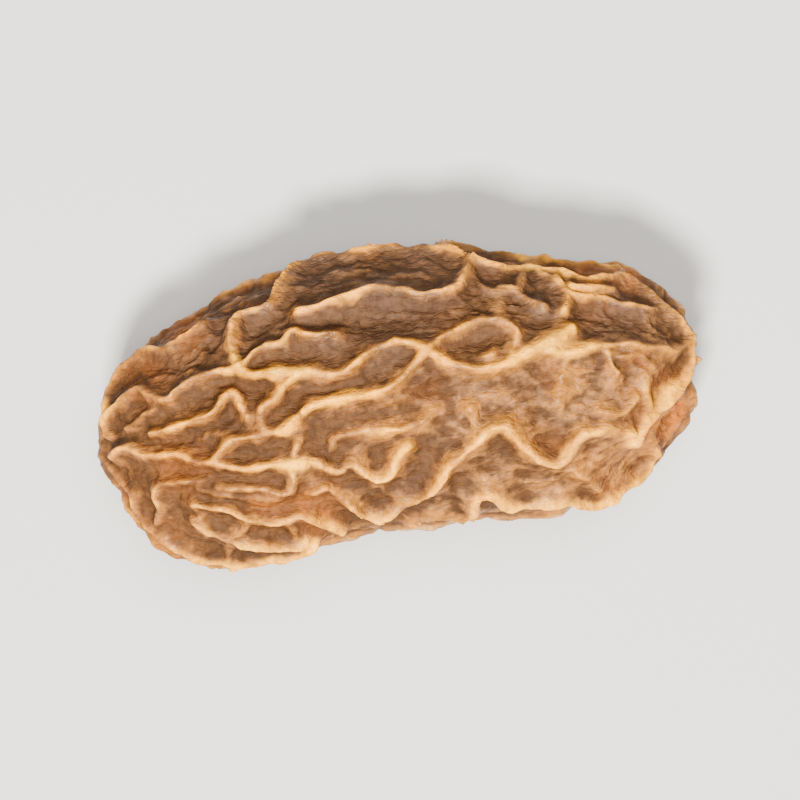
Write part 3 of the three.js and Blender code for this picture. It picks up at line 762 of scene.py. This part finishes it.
class DateColours(bpy.types.PropertyGroup):
    # The crests' gold is partly worn, paler skin and partly a painted highlight on the crest tops
    crest: FloatVectorProperty(
        name="Crest", description="Gold of the worn crests", subtype="COLOR",
        size=3, min=0, max=1, default=(0.97, 0.37, 0.012))
    # The pale gold is partly paler skin and partly painted highlight
    gold: FloatVectorProperty(
        name="Pale gold", description="Pale gold of the lightest patches", subtype="COLOR",
        size=3, min=0, max=1, default=(0.98, 0.45, 0.008))
    cream: FloatVectorProperty(
        name="Cream", description="Pinkish cream that the crests fade to in places", subtype="COLOR",
        size=3, min=0, max=1, default=(0.90, 0.35, 0.035))
    # A duller, darker copy of the crest gold for the underside in shade: painted shade
    underside_shade_gold: FloatVectorProperty(
        name="Dusty gold", description="Duller gold of the crests on the underside", subtype="COLOR",
        size=3, min=0, max=1, default=(0.58, 0.30, 0.11))
    tan: FloatVectorProperty(
        name="Tan", description="Golden tan of the folds' shoulders", subtype="COLOR",
        size=3, min=0, max=1, default=(0.345, 0.131, 0.019))
    slope: FloatVectorProperty(
        name="Slope", description="Pinkish brown of the flat skin", subtype="COLOR",
        size=3, min=0, max=1, default=(0.198, 0.081, 0.023))
    russet: FloatVectorProperty(
        name="Russet", description="Reddish brown that the flat skin turns to in places", subtype="COLOR",
        size=3, min=0, max=1, default=(0.19, 0.067, 0.013))
    # The valleys' dark brown is partly the skin's own and partly painted shade
    valley: FloatVectorProperty(
        name="Valley", description="Dark brown of the narrow valleys", subtype="COLOR",
        size=3, min=0, max=1, default=(0.074, 0.029, 0.008))
    # The hollows' mauve is partly the skin's tint and partly painted shade
    mauve: FloatVectorProperty(
        name="Mauve", description="Dull mauve of the broad hollows", subtype="COLOR",
        size=3, min=0, max=1, default=(0.083, 0.041, 0.021))
    amber: FloatVectorProperty(
        name="Amber", description="Orange brown of the stem scar and the thin rims", subtype="COLOR",
        size=3, min=0, max=1, default=(0.36, 0.095, 0.008))


class StudioSettings(bpy.types.PropertyGroup):
    key_power: FloatProperty(
        name="Window light", description="Power of the light from the near side",
        default=4.4, min=0, subtype="POWER", unit="POWER")
    table_colour: FloatVectorProperty(
        name="Table", description="Colour of the pale table", subtype="COLOR",
        size=3, min=0, max=1, default=(0.62, 0.60, 0.57))


class Nodes:
    """The nodes of one new material, with a short method for each kind of node."""

    def __init__(self, name):
        self.material = bpy.data.materials.new(name)
        self.material.use_nodes = True
        self.shader = self.material.node_tree.nodes["Principled BSDF"]
        self.place = self.add("ShaderNodeTexCoord").outputs["Object"]

    def add(self, kind, settings=(), inputs=()):
        """Adds a node, sets its properties, and sets or links its inputs."""
        node = self.material.node_tree.nodes.new(kind)
        for name, value in dict(settings).items():
            setattr(node, name, value)
        for name, value in dict(inputs).items():
            self.feed(node, name, value)
        return node

    def feed(self, node, name, value):
        """Links another node's output to an input, or gives the input a value."""
        if isinstance(value, bpy.types.NodeSocket):
            self.material.node_tree.links.new(value, node.inputs[name])
        else:
            node.inputs[name].default_value = value

    def attribute(self, name):
        """What was kept for each vertex under the name."""
        return self.add("ShaderNodeAttribute", {"attribute_name": name}).outputs["Fac"]

    def stretched(self, scale):
        """Places squeezed by the scale, so that noise over them is stretched."""
        return self.add("ShaderNodeMapping", {}, {"Vector": self.place, "Scale": scale}).outputs[0]

    def cloud(self, size, detail, over=None):
        """Noise with features of the given size in millimetres."""
        inputs = {"Vector": over or self.place, "Scale": 1 / (size * MM), "Detail": detail}
        return self.add("ShaderNodeTexNoise", {}, inputs).outputs["Fac"]

    def mix(self, share, under, over):
        """One colour over another, each from another node or as plain red, green and blue."""
        under, over = [value if isinstance(value, bpy.types.NodeSocket) else (*value, 1)
                       for value in (under, over)]
        inputs = {0: share, 6: under, 7: over}
        return self.add("ShaderNodeMix", {"data_type": "RGBA"}, inputs).outputs[2]

    def times(self, colour, share):
        """A colour times a share, which may be over 1."""
        settings = {"data_type": "RGBA", "blend_type": "MULTIPLY"}
        return self.add("ShaderNodeMix", settings, {0: 1.0, 6: colour, 7: share}).outputs[2]

    def spread(self, value, low, high, start=0.0, end=1.0):
        """A smooth rise from start to end while the value goes from low to high."""
        settings = {"interpolation_type": "SMOOTHSTEP"}
        inputs = {"Value": value, 1: low, 2: high, 3: start, 4: end}
        return self.add("ShaderNodeMapRange", settings, inputs).outputs[0]

    def maths(self, operation, one, other, third=0.0):
        """One step of arithmetic."""
        return self.add("ShaderNodeMath", {"operation": operation}, {0: one, 1: other, 2: third}).outputs[0]

    def plus(self, total, *parts):
        """A value plus others, each times its weight."""
        for value, weight in parts:
            total = self.maths("MULTIPLY_ADD", value, weight, total)
        return total


def skin_colour(nodes, colours, height, blotch, speck):
    """Brown flats, valleys partly in painted shade, tan shoulders, worn gold crests with painted highlight,
    mauve and amber.
    """
    crest, amber, mauve, pale, apexward, painted_shade, lower = [
        nodes.attribute(name) for name in ("crest", "amber", "mauve", "pale", "apexward", "painted_shade", "lower")]
    drift = nodes.cloud(3.2, 2.0)

    reddish = nodes.spread(nodes.plus(drift, (apexward, 0.3)), 0.45, 0.65)
    brown = nodes.mix(reddish, colours.slope, colours.russet)
    flat = nodes.mix(mauve, brown, colours.mauve)
    # Valleys and hollows darker by how sunk they are: partly the skin's own brown and partly painted shade
    valley = nodes.mix(nodes.maths("MULTIPLY", mauve, 0.6), colours.valley, colours.mauve)
    body = nodes.mix(nodes.spread(height, 0.26, 0.48), valley, flat)

    shoulder = nodes.spread(nodes.plus(height, (pale, 0.09)), 0.39, 0.65)
    shoulder = nodes.maths("MULTIPLY", shoulder, nodes.plus(1.0, (mauve, -0.9)))
    tan = nodes.mix(shoulder, body, colours.tan)

    faded = nodes.mix(nodes.spread(drift, 0.38, 0.62), colours.cream, colours.crest)
    upper = nodes.mix(nodes.maths("MULTIPLY", pale, 0.8), faded, colours.gold)
    # Crests on the underside take the duller gold: painted shade
    light = nodes.mix(lower, upper, colours.underside_shade_gold)
    # Crest gold by how near the crest top: partly wear and partly painted highlight, less where shade is
    # painted
    wear = nodes.maths("MULTIPLY", nodes.cloud(1.5, 2.0), 0.7)
    worn = nodes.plus(wear, (drift, 0.9), (pale, 0.3), (painted_shade, -0.16), (crest, 1.0))
    lined = nodes.mix(nodes.spread(worn, 1.30, 1.74), tan, light)

    orange = nodes.maths("MULTIPLY", amber, nodes.spread(blotch, 0.4, 0.6, 0.4, 0.95))
    warm = nodes.mix(orange, lined, colours.amber)
    patchy = nodes.times(warm, nodes.spread(nodes.cloud(2.4, 3.0), 0.36, 0.64, 0.82, 1.12))
    return nodes.times(patchy, nodes.spread(speck, 0.3, 0.7, 0.72, 1.2))


def skin_grain(nodes, lengthwise):
    """Fine lengthwise grain with a net of small cracks."""
    between = nodes.maths("SUBTRACT", nodes.cloud(0.55, 3.0, lengthwise), 0.5)
    crackle = nodes.spread(nodes.maths("ABSOLUTE", between, 0.0), 0.0, 0.08, 0.0, 0.3)
    return nodes.plus(crackle, (nodes.cloud(0.5, 3.0, lengthwise), 1.4))


def skin_material(colours):
    """Dry date skin, coloured and roughened by how raised and how worn it is, with painted shade and
    highlight.
    """
    nodes = Nodes("date_skin")
    lengthwise = nodes.stretched((0.5, 1, 1))
    blotch = nodes.cloud(1.5, 6.0)
    speck = nodes.cloud(0.45, 4.0)
    streak = nodes.cloud(0.8, 4.0, lengthwise)
    raised, pale, painted_shade = [nodes.attribute(name) for name in ("raised", "pale", "painted_shade")]
    # Painted shade lowers the height on the far side and at the apex, so the skin there is darker
    height = nodes.plus(raised, (blotch, 0.18), (speck, 0.10), (streak, 0.6), (pale, 0.07), (painted_shade, -0.10))

    colour = skin_colour(nodes, colours, height, blotch, speck)
    nodes.feed(nodes.shader, "Base Color", colour)
    bump = {"Strength": 1.0, "Distance": 0.0001, "Height": skin_grain(nodes, lengthwise)}
    nodes.feed(nodes.shader, "Normal", nodes.add("ShaderNodeBump", {}, bump).outputs[0])
    nodes.feed(nodes.shader, "Roughness", nodes.spread(height, 0.26, 0.66, 0.72, 0.34))
    nodes.feed(nodes.shader, "Specular IOR Level", 0.17)
    return nodes.material


def table_material(colour):
    """Pale matt table with a faint mottle."""
    nodes = Nodes("pale_table")
    mottle = nodes.add("ShaderNodeTexNoise", {}, {"Vector": nodes.place, "Scale": 60.0, "Detail": 4.0})
    shaded = [0.97 * channel for channel in colour]
    nodes.feed(nodes.shader, "Base Color", nodes.mix(mottle.outputs["Fac"], shaded, colour))
    nodes.feed(nodes.shader, "Roughness", 0.8)
    return nodes.material


class DATE_OT_fruit(bpy.types.Operator):
    """Model the wrinkled fruit and give it its skin"""
    bl_idname = "dried_date.fruit"
    bl_label = "Model the date"

    def execute(self, context):
        shape = context.scene.date_shape
        noise.seed_set(NOISE_SEED)
        date = even_ball(BALL_CUTS)
        date.name = date.data.name = "date_fruit"
        mesh = date.data
        directions = read_mesh(mesh, "co")
        directions /= np.linalg.norm(directions, axis=1)[:, None]
        body = body_points(directions)
        write_places(mesh, body)
        normals = read_mesh(mesh, "normal")

        lower = soft_step(*DOWNWARD, body[:, 2] - MIDDLE_HEIGHT)
        uneven = 1 + noises(noise_field, body, UNEVEN) + lower * noises(noise_field, body, UNEVEN_BELOW)
        crest, edge, second = fold_shares(body, shape.waver)
        folds = FOLD_HEIGHT * shape.fold_share * fold_height(body, crest, edge, uneven)
        fine = shape.fine_height * fine_ridges(body)
        room = 1 - CREST_SMOOTHNESS * np.clip(crest, 0, 1)
        height = folds + (shape.second_height * second + fine) * room
        height -= hollow_depth(body) + apex_dimple(body)
        scar_relief, in_scar = scar_shape(body)
        relief = height * (1 - in_scar) + scar_relief + SCAR_ROUGHNESS * fine * in_scar
        skin = body + relief[:, None] * normals
        skin[:, 2] = np.maximum(skin[:, 2], 0)
        skin[:, :2] -= (skin[:, :2].min(0) + skin[:, :2].max(0)) / 2
        write_places(mesh, skin)

        mark_skin(mesh, body, relief, in_scar, lower, (crest + edge) / 2 * uneven)
        mesh.materials.append(skin_material(context.scene.date_colours))
        select_only(date)
        bpy.ops.object.shade_smooth()
        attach(date, "root")
        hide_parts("date")
        return {"FINISHED"}


def lay_table(colour):
    """A wide flat table under the date."""
    bpy.ops.object.select_all(action="DESELECT")
    bpy.ops.mesh.primitive_plane_add(size=TABLE_SIZE, location=(0, 0, 0))
    table = bpy.context.active_object
    table.name = table.data.name = "table"
    table.data.materials.append(table_material(colour))
    return table


def soft_light(name, place, aim, size, power, colour):
    """A square area light that points at aim."""
    bpy.ops.object.select_all(action="DESELECT")
    bpy.ops.object.light_add(type="AREA", location=place)
    lamp = bpy.context.active_object
    lamp.name = lamp.data.name = name
    lamp.data.size = size
    lamp.data.energy = power
    lamp.data.color = colour
    lamp.rotation_euler = (Vector(aim) - Vector(place)).to_track_quat("-Z", "Y").to_euler()


def fill_with_daylight(scene):
    """Even pale light from all around."""
    world = bpy.data.worlds.new("daylight")
    world.use_nodes = True
    background = world.node_tree.nodes["Background"]
    background.inputs["Color"].default_value = DAYLIGHT_COLOUR
    background.inputs["Strength"].default_value = DAYLIGHT_STRENGTH
    scene.world = world


def set_camera(scene, aim):
    """A long lens straight above aim, turned as the date lies in the picture."""
    bpy.ops.object.select_all(action="DESELECT")
    place = (aim.x, aim.y, aim.z + CAMERA_ABOVE)
    bpy.ops.object.camera_add(location=place, rotation=(0, 0, -CAMERA_TURN))
    camera = bpy.context.active_object
    camera.name = camera.data.name = "camera"
    camera.data.lens = CAMERA_LENS
    camera.data.clip_start = 0.01
    scene.camera = camera


class DATE_OT_studio(bpy.types.Operator):
    """Lay the pale table, hang the lights and set the camera above the date"""
    bl_idname = "dried_date.studio"
    bl_label = "Set the table and the light"

    def execute(self, context):
        settings = context.scene.date_studio
        table = lay_table(settings.table_colour)

        low, high = CAD_BOX
        aim = (low + high) / 2
        power = settings.key_power
        soft_light("window", WINDOW_PLACE, aim, WINDOW_SIZE, power, WINDOW_COLOUR)
        soft_light("ceiling", CEILING_PLACE, aim, CEILING_SIZE, CEILING_SHARE * power, CEILING_COLOUR)
        fill_with_daylight(context.scene)
        set_camera(context.scene, aim)
        return {"FINISHED"}


class DATE_PT_panel(bpy.types.Panel):
    """Everything that makes the date and its table"""
    bl_idname = "DATE_PT_panel"
    bl_label = "Dried date"
    bl_space_type = "VIEW_3D"
    bl_region_type = "UI"
    bl_category = "Dried date"

    def draw(self, context):
        for group in (context.scene.date_shape, context.scene.date_colours, context.scene.date_studio):
            for name in group.bl_rna.properties.keys():
                if name not in {"rna_type", "name"}:
                    self.layout.prop(group, name)
        self.layout.operator(DATE_OT_fruit.bl_idname)
        self.layout.operator(DATE_OT_studio.bl_idname)


CLASSES = (DateShape, DateColours, StudioSettings, DATE_OT_fruit, DATE_OT_studio, DATE_PT_panel)


def register():
    for one in CLASSES:
        bpy.utils.register_class(one)
    bpy.types.Scene.date_shape = PointerProperty(type=DateShape)
    bpy.types.Scene.date_colours = PointerProperty(type=DateColours)
    bpy.types.Scene.date_studio = PointerProperty(type=StudioSettings)


def unregister():
    del bpy.types.Scene.date_studio
    del bpy.types.Scene.date_colours
    del bpy.types.Scene.date_shape
    for one in reversed(CLASSES):
        bpy.utils.unregister_class(one)


def main():
    """Makes the date and its stage."""
    register()
    bpy.ops.dried_date.fruit()
    bpy.ops.dried_date.studio()


if __name__ == "__main__":
    main()
